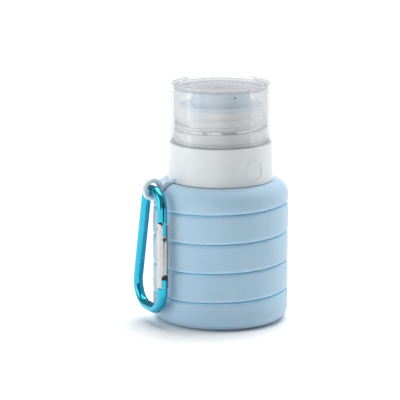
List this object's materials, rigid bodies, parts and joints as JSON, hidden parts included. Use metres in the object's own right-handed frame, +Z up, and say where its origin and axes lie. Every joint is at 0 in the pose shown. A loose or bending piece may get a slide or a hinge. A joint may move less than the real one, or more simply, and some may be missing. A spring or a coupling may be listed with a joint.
{
  "type": "folding water bottle",
  "caption": "Soft water bottle that folds down in steps, with a white collar, a clear screw cap over a drinking spout, and a carabiner hanging from a loop.",
  "frame": {"origin": "on the bottle's axis, at the flat underside it stands on", "axes": "+Z up along the bottle's axis towards the cap; -Y is the front; the carabiner hangs at the left, on the -X side and a little to the front"},
  "size_m": [0.0846, 0.074, 0.13],
  "materials": {
    "silicone_body": "matt light blue silicone",
    "silicone_web": "matt light blue silicone, thin",
    "neck_plastic": "white moulded plastic",
    "clamp_plastic": "natural white plastic",
    "seal_silicone": "clear white silicone",
    "collar_plastic": "satin white plastic",
    "loop_silicone": "translucent grey-blue silicone",
    "spout_silicone": "pale blue silicone",
    "cap_plastic": "clear, slightly frosted plastic",
    "anodised_aluminium": "blue anodised, polished",
    "gate_metal": "plain satin",
    "pin_steel": "plain steel",
    "spring_steel": "spring steel"
  },
  "bodies": {
    "base": {"base_cup": "silicone_body", "fold_web_1": "silicone_web"},
    "lower_band": {"band_lower": "silicone_body", "fold_web_2": "silicone_web"},
    "middle_band": {"band_middle": "silicone_body", "fold_web_3": "silicone_web"},
    "upper_band": {"band_upper": "silicone_body", "fold_web_4": "silicone_web"},
    "neck": {"shoulder_band": "silicone_body", "threaded_neck": "neck_plastic", "neck_clamp_ring": "clamp_plastic", "neck_o_ring": "seal_silicone", "collar_shell": "collar_plastic", "carry_loop": "loop_silicone", "drinking_spout": "spout_silicone"},
    "seal": {"cap_seal": "seal_silicone"},
    "cap": {"cap_shell": "cap_plastic"},
    "carabiner": {"carabiner_frame": "anodised_aluminium"},
    "gate": {"carabiner_gate": "gate_metal", "gate_pivot_pin": "pin_steel", "gate_spring": "spring_steel"}
  },
  "joints": [
    {"name": "unfold_1", "type": "slide", "parent": "base", "child": "lower_band", "axis": [0, 0, 1], "range_m": [0, 0.02], "deforming": ["fold_web_1"]},
    {"name": "unfold_2", "type": "slide", "parent": "lower_band", "child": "middle_band", "axis": [0, 0, 1], "range_m": [0, 0.02], "deforming": ["fold_web_2"]},
    {"name": "unfold_3", "type": "slide", "parent": "middle_band", "child": "upper_band", "axis": [0, 0, 1], "range_m": [0, 0.02], "deforming": ["fold_web_3"]},
    {"name": "unfold_4", "type": "slide", "parent": "upper_band", "child": "neck", "axis": [0, 0, 1], "range_m": [0, 0.02], "deforming": ["fold_web_4"]},
    {"name": "cap_lift", "type": "slide", "parent": "neck", "child": "seal", "axis": [0, 0, 1], "range_m": [0, 0.012]},
    {"name": "cap_turn", "type": "hinge", "parent": "seal", "child": "cap", "pos_m": [0, 0, 0.112], "axis": [0, 0, 1], "range_deg": [0, 1080]},
    {"name": "carabiner_swing", "type": "hinge", "parent": "neck", "child": "carabiner", "pos_m": [-0.03653, -0.01861, 0.0744], "axis": [-0.454, 0.891, 0], "range_deg": [-1, 150]},
    {"name": "gate_open", "type": "hinge", "parent": "carabiner", "child": "gate", "pos_m": [-0.03131, -0.02886, 0.0558], "axis": [0.891, 0.454, 0], "range_deg": [0, 35], "stiffness_Nm_per_rad": 0.012, "springref_deg": -17.19}
  ],
  "couplings": [
    {"joint": "unfold_2", "follows": "unfold_1", "ratio": 1},
    {"joint": "unfold_3", "follows": "unfold_1", "ratio": 1},
    {"joint": "unfold_4", "follows": "unfold_1", "ratio": 1},
    {"joint": "cap_lift", "follows": "cap_turn", "m_per_rad": 0.00063662}
  ]
}
